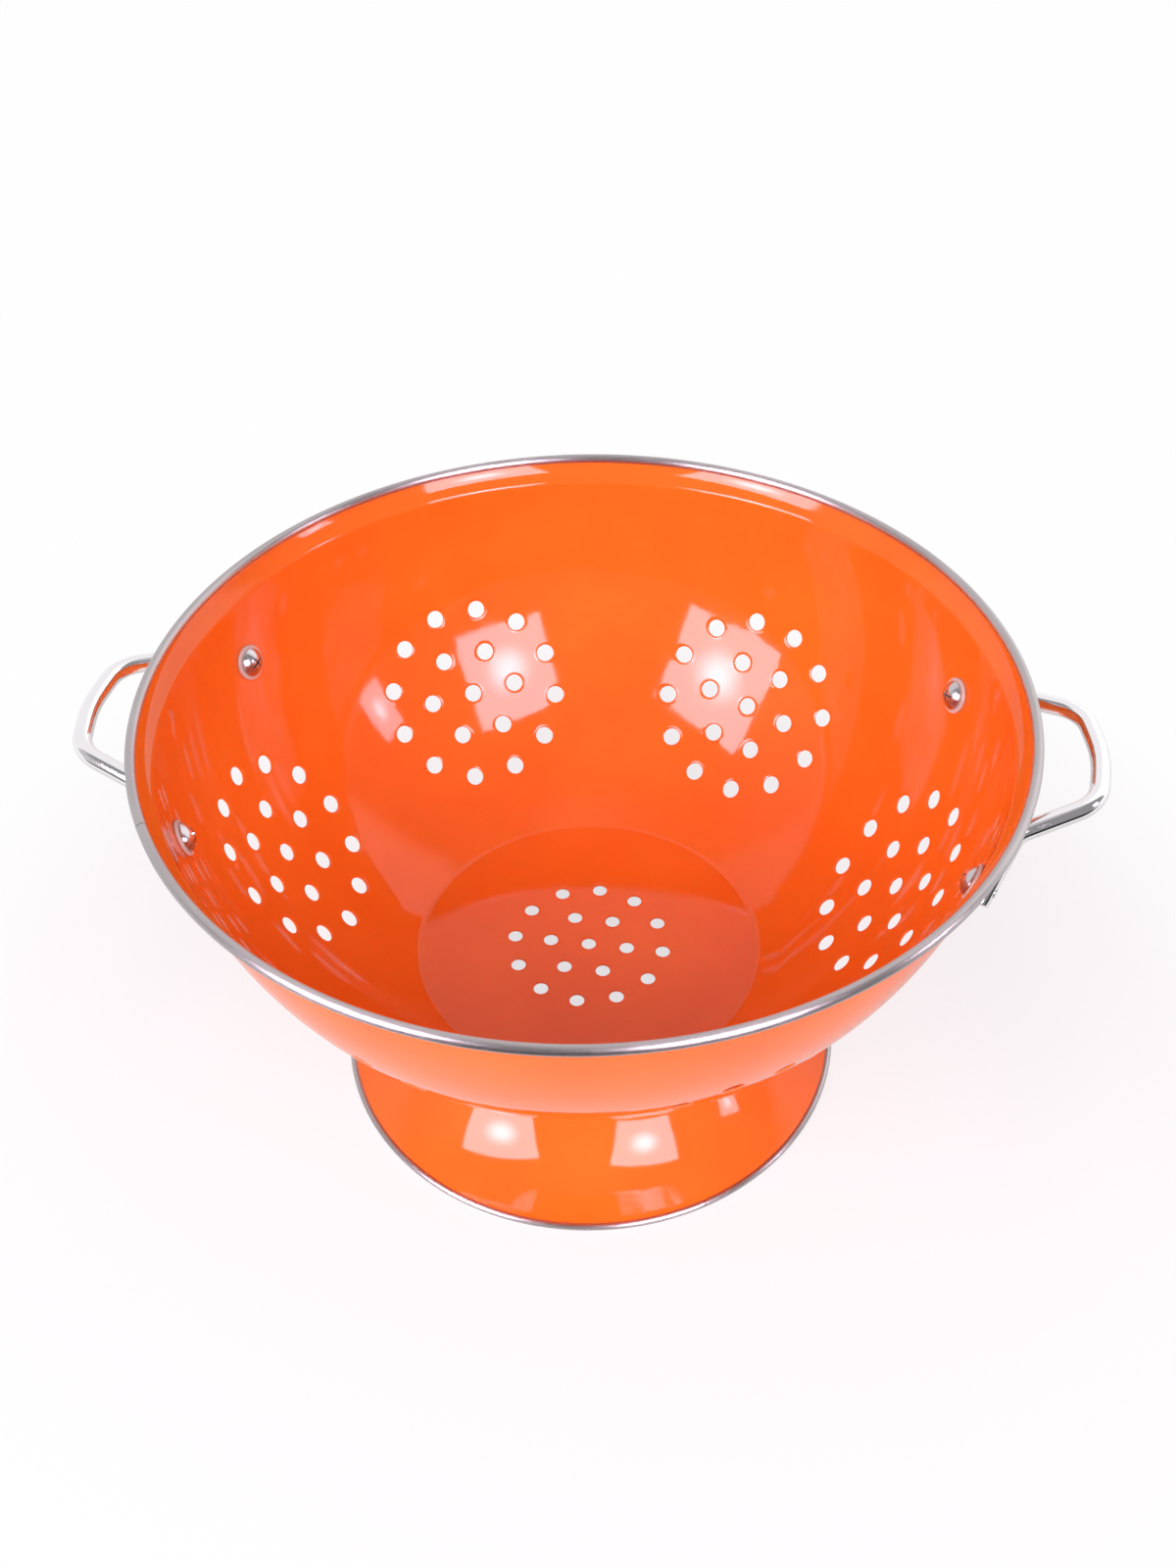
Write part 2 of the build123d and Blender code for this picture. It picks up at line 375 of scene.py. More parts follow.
# %% One hole cutter
WALL_HOLE = 3.15
HOLE_LIP = 1.1
HOLE_ROUND = 0.3
HOLE_SIDES = 28
CUTTER_REACH = 2.0
CUTTER_WIDE = 1.15
CUTTER_START = 0.07
ROUND_ANGLES = (67.5, 45.0, 22.5, 0.0)

heights = [(-CUTTER_REACH, CUTTER_WIDE), (-CUTTER_START * HOLE_ROUND, CUTTER_WIDE)]
for angle in ROUND_ANGLES:
    heights.append((HOLE_ROUND * (1 - math.sin(math.radians(angle))),
                    1 - math.cos(math.radians(angle))))
heights += [(SHEET - height, flare) for height, flare in reversed(heights)]


def punch(name):
    """A closed cutter along Z: narrow inside the sheet and flared at both of its faces."""
    bpy.ops.object.select_all(action="DESELECT")
    bpy.ops.mesh.primitive_circle_add(
        vertices=HOLE_SIDES, radius=(WALL_HOLE + heights[0][1] * HOLE_LIP) * MM,
        fill_type="NGON", location=(0, 0, 0), enter_editmode=True)
    cutter = bpy.context.object
    cutter.name = name
    bpy.ops.transform.translate(value=(0, 0, heights[0][0] * MM))
    for (low, wide), (high, narrow) in zip(heights, heights[1:]):
        bpy.ops.mesh.extrude_region_move(
            TRANSFORM_OT_translate={"value": (0, 0, (high - low) * MM)})
        size = (WALL_HOLE + narrow * HOLE_LIP) / (WALL_HOLE + wide * HOLE_LIP)
        bpy.ops.transform.resize(value=(size, size, 1), center_override=(0, 0, high * MM))
    bpy.ops.mesh.select_all(action="SELECT")
    bpy.ops.mesh.normals_make_consistent(inside=False)
    bpy.ops.object.mode_set(mode="OBJECT")
    return cutter


cutter = punch("punch")
print("cutter rings", [(round(height, 3), flare) for height, flare in heights])

# %% Places of the holes
CLUSTER_HEIGHT = FLOOR_HEIGHT + 37.6
CLUSTER_TURN = 1.9
CLUSTER_COUNT = 6
WALL_HOLLOW = 139.0
WALL_RINGS = [(1, 0.0, 0.0), (6, 16.4, 0.0), (12, 31.5, 15.0)]
FLOOR_HOLE = 2.55
FLOOR_RINGS = [(1, 0.0, 0.0), (6, 13.55, 0.0), (12, 26.34, 0.0)]
FLOOR_TURN = -3.5
SCREW_HOLE = 2.2
SCREW_AZIMUTH = 19.9
SCREW_HEIGHT = 130.0
SLIDE_TRIES = 8


def wall_normal(point):
    """The way out of the bowl, square to the wall at a point."""
    reach = math.hypot(point.x, point.y)
    across = (reach - WALL_MIDDLE[0]) / WALL_CURVE
    return Vector((point.x / reach * across, point.y / reach * across,
                   (point.z - WALL_MIDDLE[1]) / WALL_CURVE)).normalized()


def onto_wall(point, way):
    """Slide a point along a line until it lies in the inner face of the wall."""
    for _ in range(SLIDE_TRIES):
        reach = math.hypot(point.x, point.y)
        miss = math.hypot(reach - WALL_MIDDLE[0], point.z - WALL_MIDDLE[1]) - WALL_CURVE
        point = point - way * (miss / wall_normal(point).dot(way))
    return point


def wall_place(azimuth, height):
    """A point of the wall with the wall's own directions: round, up and out."""
    slope = math.asin((height - WALL_MIDDLE[1]) / WALL_CURVE)
    reach = WALL_MIDDLE[0] + WALL_CURVE * math.cos(slope)
    turn = math.radians(azimuth)
    point = Vector((reach * math.cos(turn), reach * math.sin(turn), height))
    out = wall_normal(point)
    along = Vector((-math.sin(turn), math.cos(turn), 0))
    return point, along, out.cross(along), out


def ring_places(rings, turn):
    """Flat places of a gang's holes, ring by ring."""
    for count, radius, start in rings:
        for number in range(count):
            angle = math.radians(start + turn + 360 / count * number)
            yield radius * math.cos(angle), radius * math.sin(angle)


def cutter_copy(point, along, up, out, radius, normal):
    """A copy of the punch, moved to a hole and sheared into the face of the sheet there."""
    copy = cutter.copy()
    copy.data = cutter.data.copy()
    bpy.context.scene.collection.objects.link(copy)
    size = radius / WALL_HOLE
    lean = out.dot(normal)
    first = (along - out * (along.dot(normal) / lean)) * size
    second = (up - out * (up.dot(normal) / lean)) * size
    third = out / lean
    rows = [(first[row], second[row], third[row], point[row] * MM) for row in range(3)]
    copy.data.transform(Matrix([*rows, (0, 0, 0, 1)]))
    return copy


punches = []
sag = (WALL_HOLE + HOLE_LIP) ** 2 / (2 * WALL_HOLLOW)
for cluster in range(CLUSTER_COUNT):
    azimuth = 360 / CLUSTER_COUNT * cluster
    point, along, up, out = wall_place(azimuth, CLUSTER_HEIGHT)
    for right, high in ring_places(WALL_RINGS, CLUSTER_TURN):
        hole = onto_wall(point + along * right + up * high, out)
        punches.append(cutter_copy(hole - out * sag, along, up, out, WALL_HOLE,
                                   wall_normal(hole)))
down = Vector((0, 0, -1))
for right, high in ring_places(FLOOR_RINGS, FLOOR_TURN):
    punches.append(cutter_copy(Vector((right, high, FLOOR_HEIGHT)), Vector((1, 0, 0)),
                               Vector((0, -1, 0)), down, FLOOR_HOLE, down))
screw_places = {}
for spot, azimuth in (("right_back", SCREW_AZIMUTH), ("right_front", -SCREW_AZIMUTH),
                      ("left_back", 180 - SCREW_AZIMUTH), ("left_front", 180 + SCREW_AZIMUTH)):
    point, along, up, out = wall_place(azimuth, SCREW_HEIGHT)
    screw_places[spot] = (point, along, up, out)
    punches.append(cutter_copy(point, along, up, out, SCREW_HOLE, out))
print("holes to punch", len(punches))

# %% Punch them all
bpy.ops.object.select_all(action="DESELECT")
for copy in punches:
    copy.select_set(True)
bpy.context.view_layer.objects.active = punches[0]
bpy.ops.object.join()
bpy.data.objects.remove(cutter)
apply_boolean(bowl, bpy.context.object)
finish_piece(bowl, "bowl", enamel, sharp=35.0)

# %% [markdown]
# The rounded edges of the holes are tiny beside the faces of the wall. Plain smooth shading
# would average the two and show a halo round each hole, so a Weighted Normal modifier lets
# the large faces decide.

# %% Weight the normals
weights = bowl.modifiers.new("weights", "WEIGHTED_NORMAL")
weights.weight = 90
weights.keep_sharp = True
bpy.ops.object.modifier_apply(modifier="weights")
print("normals weighted")

# %% [markdown]
# ## The foot
# The foot is a short trumpet of the same enamelled sheet. A flange at its neck lies under
# the bowl's floor, where the two are spot-welded before firing, and its wide edge runs into
# a steel bead. Its flare is one hollow arc that runs out into a short straight lip, and the
# same line a sheet's thickness lower is its underside.

# %% Section of the foot
FOOT_NECK = (47.4, 44.2)
FOOT_FLANGE = 6.0
FOOT_LIP = (85.2, 2.41)
FOOT_EDGE = (88.243, 1.306)
LIP_SLOPE = 21.0
LIP_BEND = 14.0
LIP_STEP = 3.0
FLARE_STEPS = 24
FOOT_STEPS = 208


def flare_middle():
    """Middle and radius of the hollow arc that leaves the lip at its slope."""
    slope = math.radians(LIP_SLOPE)
    normal = Vector((math.sin(slope), math.cos(slope)))
    lip = Vector(FOOT_LIP)
    chord = Vector(FOOT_NECK) - lip
    radius = chord.length_squared / (2 * chord.dot(normal))
    return lip + normal * radius, radius


middle, flare = flare_middle()
start = math.degrees(math.atan2(FOOT_LIP[1] - middle.y, FOOT_LIP[0] - middle.x))
end = math.degrees(math.atan2(FOOT_NECK[1] - middle.y, FOOT_NECK[0] - middle.x))
arc = arc_points(middle, flare, start, end, FLARE_STEPS)
lip = rounded([Vector(FOOT_EDGE), arc[0], arc[BEND_SKIP]], [LIP_BEND], step=LIP_STEP)
flange = Vector((FOOT_NECK[0] - FOOT_FLANGE, FOOT_NECK[1]))
outer_line = lip[:-1] + arc[BEND_SKIP:] + [flange]
inner_line = shifted(outer_line, -SHEET)
print("flare radius", round(flare, 1), "from", round(start), "to", round(end))

# %% Spin the foot
foot = draw_section("foot_enamelled", outer_line + inner_line[::-1])
spin_round(foot, FOOT_STEPS)
finish_piece(foot, "foot", enamel, sharp=20.0)

# %% [markdown]
# ## The steel strips
# The rim wears a stainless strip that is rolled over the bowl's flange, and the foot has a
# thinner one over its edge. Both are narrow ribbons bent into an open round section, with
# a slot for the sheet, and their ends meet at a fine butt seam. A torus would hide the
# lips and the seam, so the open section is drawn and spun just short of a full turn. The
# mouth is the angle at which the section opens, and the opening is half its width.

# %% Rolled strips
def strip_outline(middle, outer, strip, mouth, opening, steps):
    """The closed outline of a rolled strip: round the outside, then back round the inside."""
    half = math.degrees(math.asin(opening / outer))
    low = mouth + half
    high = mouth + 360 - half
    inner = outer - strip
    inner_half = math.degrees(math.asin(opening / inner))
    outside = arc_points(middle, outer, low, high, steps)
    inside = arc_points(middle, inner, mouth + 360 - inner_half, mouth + inner_half, steps)
    return outside + inside


RIM = {"middle": (138.35, 157.35), "tube": 1.65, "strip": 0.32, "mouth": 236, "opening": 0.75,
       "reach": 140.0, "seam": -151.0, "steps": 288, "sides": 22}
BEAD = {"middle": (87.51, 1.19), "tube": 1.19, "strip": 0.3, "mouth": 187, "opening": 0.6,
        "reach": 88.7, "seam": -58.7, "steps": 240, "sides": 14}
SEAM_GAP = 0.25


def rolled_strip(name, middle, tube, strip, mouth, opening, reach, seam, steps, sides):
    """Spin a strip's section from one side of its seam round to the other."""
    gap = math.degrees(SEAM_GAP / reach)
    outline = strip_outline(middle, tube, strip, mouth, opening, sides)
    piece = draw_section(name, outline, azimuth=seam + gap / 2)
    spin_round(piece, steps, 360 - gap)
    return piece


rim = rolled_strip("rim_strip", **RIM)
bead = rolled_strip("foot_bead", **BEAD)
print("rim faces", len(rim.data.polygons), "bead faces", len(bead.data.polygons))

# %% [markdown]
# ## Stainless strip
# Rolling leaves fine lines that run round the strip, so the pattern has to follow the ring.
# Wave textures cannot do that, but the angle about Z can: multiplied by the radius it
# becomes a length along the strip, and noise that is stretched along that length gives the
# lines. They move the roughness and a very small bump. Lines this fine also smear every
# reflection across the strip, and anisotropy does that with a tangent that runs round Z.

# %% Stainless strip finish
STEEL_DARK = (0.44, 0.41, 0.405)
STEEL_LIGHT = (0.54, 0.51, 0.505)
STEEL_ROUGH = (0.26, 0.38)
LINE_STRETCH = 0.004

steel, nodes, links, shader = new_material("rolled_stainless")
place = nodes.new("ShaderNodeTexCoord").outputs["Object"]
split = nodes.new("ShaderNodeSeparateXYZ")
links.new(place, split.inputs["Vector"])
around = joined("ARCTAN2", split.outputs["Y"], split.outputs["X"])
flat = nodes.new("ShaderNodeCombineXYZ")
links.new(split.outputs["X"], flat.inputs["X"])
links.new(split.outputs["Y"], flat.inputs["Y"])
lines = nodes.new("ShaderNodeCombineXYZ")
links.new(joined("MULTIPLY", around, LINE_STRETCH), lines.inputs["X"])
links.new(distance_of(flat.outputs["Vector"]), lines.inputs["Y"])
links.new(split.outputs["Z"], lines.inputs["Z"])
grain = noise_at(lines.outputs["Vector"], 9000, detail=3, roughness=0.7)
stain = noise_at(place, 60, detail=3)
links.new(blended(stain, STEEL_DARK, STEEL_LIGHT), shader.inputs["Base Color"])
links.new(stretched(grain, 0.3, 0.7, *STEEL_ROUGH), shader.inputs["Roughness"])
bumped(shader, grain, 0.15, 0.00002)
shader.inputs["Metallic"].default_value = 1.0
shader.inputs["Anisotropic"].default_value = 0.8
shader.inputs["Anisotropic Rotation"].default_value = 0.25
tangent = nodes.new("ShaderNodeTangent")
tangent.direction_type = "RADIAL"
tangent.axis = "Z"
links.new(tangent.outputs["Tangent"], shader.inputs["Tangent"])
finish_piece(rim, "rim_band", steel, sharp=30.0)
finish_piece(bead, "foot_band", steel, sharp=30.0)

# %% [markdown]
# ## The wire handles
# Each handle is one length of six millimetre wire with five bends, screwed to the outside
# of the bowl near both ends. A curve with a bevel would be quick, but extruding a circle
# along the straight runs and spinning it round each bend is how the wire is bent, and it
# gives clean rings of faces. The ends are capped with a small round edge.

# %% Route of a handle
WIRE = 3.0
WIRE_SIDES = 28
WIRE_EDGE = 0.5
EDGE_STEPS = 3
BEND_STEP = 6.0
HANDLE_BENDS = [6.0, 14.0, 50.0, 14.0, 6.0]
LEG_SLOPE = 41.7
LEG_TAIL = 5.0
LEG_LENGTH = 18.5
GRIP_CORNER = (156.9, 21.2, 143.9)
GRIP_REACH = 160.25
WIRE_GAP = 0.05


def handle_corners(side):
    """Corners of the middle line of a handle, from one end of the wire to the other."""
    point, along, up, out = wall_place(SCREW_AZIMUTH, SCREW_HEIGHT)
    seat = point + out * (SHEET + WIRE_GAP + WIRE)
    slope = math.radians(LEG_SLOPE)
    down_leg = along * math.cos(slope) - up * math.sin(slope)
    half = [seat + down_leg * LEG_TAIL, seat - down_leg * LEG_LENGTH, Vector(GRIP_CORNER)]
    route = half + [Vector((GRIP_REACH, 0, GRIP_CORNER[2]))]
    route += [Vector((corner.x, -corner.y, corner.z)) for corner in reversed(half)]
    return [Vector((side * corner.x, corner.y, corner.z)) for corner in route]


print("handle corners", [[round(value, 1) for value in corner] for corner in handle_corners(1)])

# %% Bend the wire
def bend_wire(name, corners, bends):
    """Extrude a circle along each straight run and spin it round each bend."""
    way = (corners[1] - corners[0]).normalized()
    bpy.ops.object.select_all(action="DESELECT")
    core = WIRE - WIRE_EDGE
    bpy.ops.mesh.primitive_circle_add(vertices=WIRE_SIDES, radius=core * MM,
                                      fill_type="NGON", location=(0, 0, 0))
    wire = bpy.context.object
    wire.name = name
    facing = Vector((0, 0, 1)).rotation_difference(way).to_matrix().to_4x4()
    wire.data.transform(Matrix.Translation(corners[0] * MM) @ facing)
    bpy.ops.object.mode_set(mode="EDIT")
    bpy.ops.mesh.select_all(action="SELECT")
    here = corners[0]

    def edge_ring(first):
        """Step the ring forward and wider or narrower, as round the wire's rounded edge."""
        nonlocal here
        for step in range(EDGE_STEPS):
            before = math.radians(90 * step / EDGE_STEPS)
            after = math.radians(90 * (step + 1) / EDGE_STEPS)
            if first:
                ahead = WIRE_EDGE * (math.cos(before) - math.cos(after))
                size = ((core + WIRE_EDGE * math.sin(after))
                        / (core + WIRE_EDGE * math.sin(before)))
            else:
                ahead = WIRE_EDGE * (math.sin(after) - math.sin(before))
                size = ((core + WIRE_EDGE * math.cos(after))
                        / (core + WIRE_EDGE * math.cos(before)))
            bpy.ops.mesh.extrude_region_move(
                TRANSFORM_OT_translate={"value": way * (ahead * MM)})
            here = here + way * ahead
            bpy.ops.transform.resize(value=(size, size, size), center_override=here * MM)

    edge_ring(True)
    for number, bend in enumerate(bends, start=1):
        corner, after = corners[number], corners[number + 1]
        ahead = (after - corner).normalized()
        swing = way.angle(ahead)
        cut_back = bend * math.tan(swing / 2)
        run = (corner - here).length - cut_back
        bpy.ops.mesh.extrude_region_move(TRANSFORM_OT_translate={"value": way * (run * MM)})
        inward = (ahead - way * ahead.dot(way)).normalized()
        middle = corner - way * cut_back + inward * bend
        axis = ahead.cross(way).normalized()
        steps = max(3, math.ceil(math.degrees(swing) / BEND_STEP))
        bpy.ops.mesh.spin(steps=steps, angle=swing, center=middle * MM, axis=axis)
        here = corner + ahead * cut_back
        way = ahead
    run = (corners[-1] - here).length - WIRE_EDGE
    bpy.ops.mesh.extrude_region_move(TRANSFORM_OT_translate={"value": way * (run * MM)})
    here = here + way * run
    edge_ring(False)
    bpy.ops.mesh.select_all(action="SELECT")
    bpy.ops.mesh.remove_doubles(threshold=WELD * MM)
    bpy.ops.mesh.normals_make_consistent(inside=False)
    bpy.ops.object.mode_set(mode="OBJECT")
    return wire


wires = {"handle_right": bend_wire("wire_handle_right", handle_corners(1), HANDLE_BENDS),
         "handle_left": bend_wire("wire_handle_left", handle_corners(-1), HANDLE_BENDS)}
for wire in wires.values():
    print(wire.name, "spans", [round(value / MM, 1) for value in wire.dimensions])

# %% Tapped holes across the wire
TAP_HOLE = 2.05
TAP_DEPTH = 9.0
TAP_MIDDLE = 4.0
TAP_SIDES = 24


def drill(wire, spots):
    """Cut a round hole across the wire where each screw comes through."""
    drills = []
    for spot in spots:
        point, along, up, out = screw_places[spot]
        bpy.ops.object.select_all(action="DESELECT")
        bpy.ops.mesh.primitive_cylinder_add(vertices=TAP_SIDES, radius=TAP_HOLE * MM,
                                            depth=TAP_DEPTH * MM, location=(0, 0, 0))
        tool = bpy.context.object
        facing = Vector((0, 0, 1)).rotation_difference(out).to_matrix().to_4x4()
        tool.data.transform(Matrix.Translation((point + out * TAP_MIDDLE) * MM) @ facing)
        drills.append(tool)
    for tool in drills:
        tool.select_set(True)
    bpy.context.view_layer.objects.active = drills[0]
    bpy.ops.object.join()
    apply_boolean(wire, bpy.context.object)


drill(wires["handle_right"], ["right_back", "right_front"])
drill(wires["handle_left"], ["left_back", "left_front"])

# %% [markdown]
# ## Chrome on the wire
# Bright chrome is a near-perfect mirror, and what one sees is the room. It still has a
# history: faint handling marks make some places a little less sharp, and the wire's
# surface under the plate is not dead straight, which makes reflections swim slightly.

# %% Chromed wire finish
CHROME_CLEAN = (0.93, 0.93, 0.935)
CHROME_HANDLED = (0.88, 0.875, 0.87)
CHROME_ROUGH = (0.03, 0.12)

chrome, nodes, links, shader = new_material("chromed_wire_plate")
place = nodes.new("ShaderNodeTexCoord").outputs["Object"]
marks = noise_at(place, 160, detail=5, roughness=0.65)
links.new(stretched(marks, 0.4, 0.75, *CHROME_ROUGH), shader.inputs["Roughness"])
links.new(blended(marks, CHROME_CLEAN, CHROME_HANDLED), shader.inputs["Base Color"])
swim = noise_at(place, 110, detail=1)
bumped(shader, swim, 0.12, 0.00015)
shader.inputs["Metallic"].default_value = 1.0
for node, wire in wires.items():
    finish_piece(wire, node, chrome, sharp=32.0)

# %% [markdown]
# ## Screws and washers
# Four screws with wide domed heads hold the handles, and under each head is a plain pale
# washer that keeps it off the enamel. The screw is one turned section. Its recess is a cross
# with one long arm, which also takes a flat blade, and it is cut with a tapered cross, as the
# punch that forms the head makes it. One screw and one washer are modelled upright at the
# origin and copied to the four places.

# %% Model one screw
HEAD_RADIUS = 4.8
HEAD_HEIGHT = 3.0
HEAD_EDGE = 0.7
HEAD_CHAMFER = 0.12
SHANK = 2.0
SHANK_CHAMFER = 0.35
SCREW_END = 6.85
HEAD_BASE = 1.25
DOME_STEPS = 12
SCREW_STEPS = 40


def turned(name, points, steps):
    """A turned piece along Z, from a section that begins and ends on the axis."""
    piece = draw_section(name, points, closed=False)
    spin_round(piece, steps)
    return piece


def dome_points():
    """The dome's arc, level at the crown, down to the top of the head's edge."""
    rise = HEAD_HEIGHT - HEAD_EDGE
    curve = (HEAD_RADIUS ** 2 + rise ** 2) / (2 * rise)
    span = math.degrees(math.asin(HEAD_RADIUS / curve))
    middle = (0.0, HEAD_BASE + HEAD_HEIGHT - curve)
    return arc_points(middle, curve, 90, 90 - span, DOME_STEPS)


head = dome_points()
head[-1] = Vector((HEAD_RADIUS, HEAD_BASE + HEAD_EDGE))
head[0].x = 0.0
section = head + [Vector((HEAD_RADIUS, HEAD_BASE + HEAD_CHAMFER)),
                  Vector((HEAD_RADIUS - HEAD_CHAMFER, HEAD_BASE)),
                  Vector((SHANK, HEAD_BASE)),
                  Vector((SHANK, SHANK_CHAMFER - SCREW_END)),
                  Vector((SHANK - SHANK_CHAMFER, -SCREW_END)),
                  Vector((0, -SCREW_END))]
screw = turned("screw_model", section, SCREW_STEPS)
print("screw stands", round(screw.dimensions.z / MM, 2), "mm tall")

# %% Cut the cross recess
RECESS_SPANS = (6.6, 4.2)
RECESS_WIDTH = 0.7
RECESS_DEPTH = 2.1
RECESS_CLEAR = 0.3
RECESS_TAPER = (0.5, 0.9, 1)


def cross_punch():
    """A cross-shaped cutter that narrows downwards, from two tapered bars joined in one."""
    top = HEAD_BASE + HEAD_HEIGHT + RECESS_CLEAR
    tall = RECESS_DEPTH + RECESS_CLEAR
    bars = []
    for quarter, span in enumerate(RECESS_SPANS):
        bpy.ops.object.select_all(action="DESELECT")
        bpy.ops.mesh.primitive_cube_add(size=MM, location=(0, 0, 0), enter_editmode=True)
        bar = bpy.context.object
        bpy.ops.transform.resize(value=(span, RECESS_WIDTH, tall))
        bpy.ops.transform.translate(value=(0, 0, (top - tall / 2) * MM))
        bpy.ops.mesh.select_all(action="DESELECT")
        bpy.ops.object.mode_set(mode="OBJECT")
        for vertex in bar.data.vertices:
            vertex.select = vertex.co.z < (top - RECESS_DEPTH) * MM
        bpy.ops.object.mode_set(mode="EDIT")
        bpy.ops.transform.resize(value=RECESS_TAPER, center_override=(0, 0, 0))
        bpy.ops.object.mode_set(mode="OBJECT")
        bar.data.transform(Matrix.Rotation(quarter * math.pi / 2, 4, "Z"))
        bars.append(bar)
    modifier = bars[0].modifiers.new("join", "BOOLEAN")
    modifier.operation = "UNION"
    modifier.object = bars[1]
    bpy.ops.object.select_all(action="DESELECT")
    bpy.context.view_layer.objects.active = bars[0]
    bars[0].select_set(True)
    bpy.ops.object.modifier_apply(modifier="join")
    bpy.data.objects.remove(bars[1])
    return bars[0]


apply_boolean(screw, cross_punch())
print("screw with its recess has", len(screw.data.polygons), "faces")

# %% Model one washer
WASHER_RADIUS = 6.0
WASHER_BORE = 2.15
WASHER_BASE = 0.249
WASHER_TOP = 1.249
WASHER_EDGE = 0.12
WASHER_SHOULDER = 0.072
WASHER_CLEAR = 0.02
WASHER_STEPS = 48

face = WASHER_TOP - WASHER_CLEAR
ring = [(WASHER_BORE, WASHER_BASE + WASHER_EDGE), (WASHER_BORE + WASHER_EDGE, WASHER_BASE),
        (WASHER_RADIUS - WASHER_EDGE, WASHER_BASE), (WASHER_RADIUS, WASHER_BASE + WASHER_EDGE),
        (WASHER_RADIUS, WASHER_TOP - 2 * WASHER_EDGE),
        (WASHER_RADIUS - WASHER_SHOULDER, WASHER_TOP - WASHER_EDGE),
        (WASHER_RADIUS - 2 * WASHER_EDGE, face), (WASHER_BORE + WASHER_EDGE, face),
        (WASHER_BORE, WASHER_TOP - WASHER_EDGE)]
washer = draw_section("washer_model", ring)
spin_round(washer, WASHER_STEPS)
print("washer is", round(washer.dimensions.x / MM, 1), "mm across")

# %% [markdown]
# ## Finishes of the small parts
# The screws have bright zinc plate, a little softer than chrome. The washers are natural
# nylon, pale and slightly translucent, so some light goes into them and comes out again:
# that is what subsurface scattering does.

# %% Zinc and nylon
ZINC_DARK = (0.56, 0.54, 0.55)
ZINC_LIGHT = (0.64, 0.62, 0.62)
ZINC_ROUGH = (0.14, 0.26)
NYLON_DARK = (0.58, 0.43, 0.41)
NYLON_LIGHT = (0.66, 0.50, 0.48)
NYLON_ROUGH = (0.3, 0.42)

zinc, nodes, links, shader = new_material("bright_zinc")
place = nodes.new("ShaderNodeTexCoord").outputs["Object"]
specks = noise_at(place, 900, detail=3)
links.new(stretched(specks, 0.35, 0.7, *ZINC_ROUGH), shader.inputs["Roughness"])
links.new(blended(specks, ZINC_DARK, ZINC_LIGHT), shader.inputs["Base Color"])
bumped(shader, specks, 0.1, 0.00003)
shader.inputs["Metallic"].default_value = 1.0

nylon, nodes, links, shader = new_material("natural_nylon")
place = nodes.new("ShaderNodeTexCoord").outputs["Object"]
cloud = noise_at(place, 500, detail=2)
links.new(blended(cloud, NYLON_DARK, NYLON_LIGHT), shader.inputs["Base Color"])
links.new(stretched(cloud, 0.3, 0.7, *NYLON_ROUGH), shader.inputs["Roughness"])
bumped(shader, cloud, 0.1, 0.00003)
shader.inputs["Subsurface Weight"].default_value = 0.15
shader.inputs["Subsurface Radius"].default_value = (0.0012, 0.0008, 0.0006)
shader.inputs["Subsurface Scale"].default_value = 1.0
print("small finishes ready")

# %% Put the four pairs in place
HEAD_TURNS = {"right_back": 20, "right_front": 65, "left_back": 12, "left_front": 40}
for spot, (point, along, up, out) in screw_places.items():
    turn = Matrix.Rotation(math.radians(HEAD_TURNS[spot]), 4, "Z")
    rows = [(along[row], -up[row], -out[row], point[row] * MM) for row in range(3)]
    seat = Matrix([*rows, (0, 0, 0, 1)])
    for model, kind, slot, finish in ((screw, "screw", "screw_steel", zinc),
                                      (washer, "washer", "washer_plastic", nylon)):
        copy = model.copy()
        copy.data = model.data.copy()
        copy.name = f"{kind}_{spot}_visual"
        bpy.context.scene.collection.objects.link(copy)
        copy.data.transform(seat @ turn)
        finish_piece(copy, f"{kind}_{spot}", finish, sharp=30.0)
bpy.data.objects.remove(screw)
bpy.data.objects.remove(washer)

# %% [markdown]
# ## Floor and room
# The photograph has a white table that runs into a white background. The floor is a large
# pale sheet. Seen by the camera or in a mirror it is nearly white by itself, which leaves
# the light on the object plain, and a share of ordinary pale paint keeps the soft shadow.
# That share is larger near the object, so the floor seen through the holes is in shadow.
# Near the object the glow itself also holds painted shade: it is tinted lilac there, and
# mirrors see it dimmer.
# The lower edges of the rim and of the wires are black in the photograph, because they
# mirror what lies in front of the table. So mirrors see no paper past its front edge.
# Each share below is how much of the paper is its own glow: the least, and how much more
# there is far from the object. Reaches are in metres from the middle of the foot.

# %% Helpers for patterns of light
def soft_step(value, low, high):
    """0 below low, 1 above high, and a smooth step between them."""
    step = nodes.new("ShaderNodeMapRange")
    step.interpolation_type = "SMOOTHSTEP"
    step.inputs["From Min"].default_value = low
    step.inputs["From Max"].default_value = high
    links.new(value, step.inputs["Value"])
    return step.outputs["Result"]


def length_along(source, way):
    """How far a place lies along a level way, given as the photograph's camera sees it."""
    dot = nodes.new("ShaderNodeVectorMath")
    dot.operation = "DOT_PRODUCT"
    dot.inputs[1].default_value = heading @ Vector(way)
    links.new(source, dot.inputs[0])
    return dot.outputs["Value"]


# %% Floor
FLOOR_SIZE = 12
PAPER = (0.86, 0.85, 0.86)
# Near the object the glow is tinted lilac: painted shade colour for the floor seen through the
# holes.
GLOW_NEAR_SHADE_TINT = (1.0, 0.965, 0.985)
GLOW_FAR = (1.0, 0.995, 1.0)
MIRROR_REACH = (0.24, 0.5)
SHADOW_REACH = (0.15, 0.3)
PAPER_FRONT = (0.2, 0.28)
MIRROR_SHADE_DIM = 0.35
FRONT_DIM = 0.97
CAMERA_SHARE = (0.75, 0.24)
MIRROR_SHARE = (0.55, 0.4)

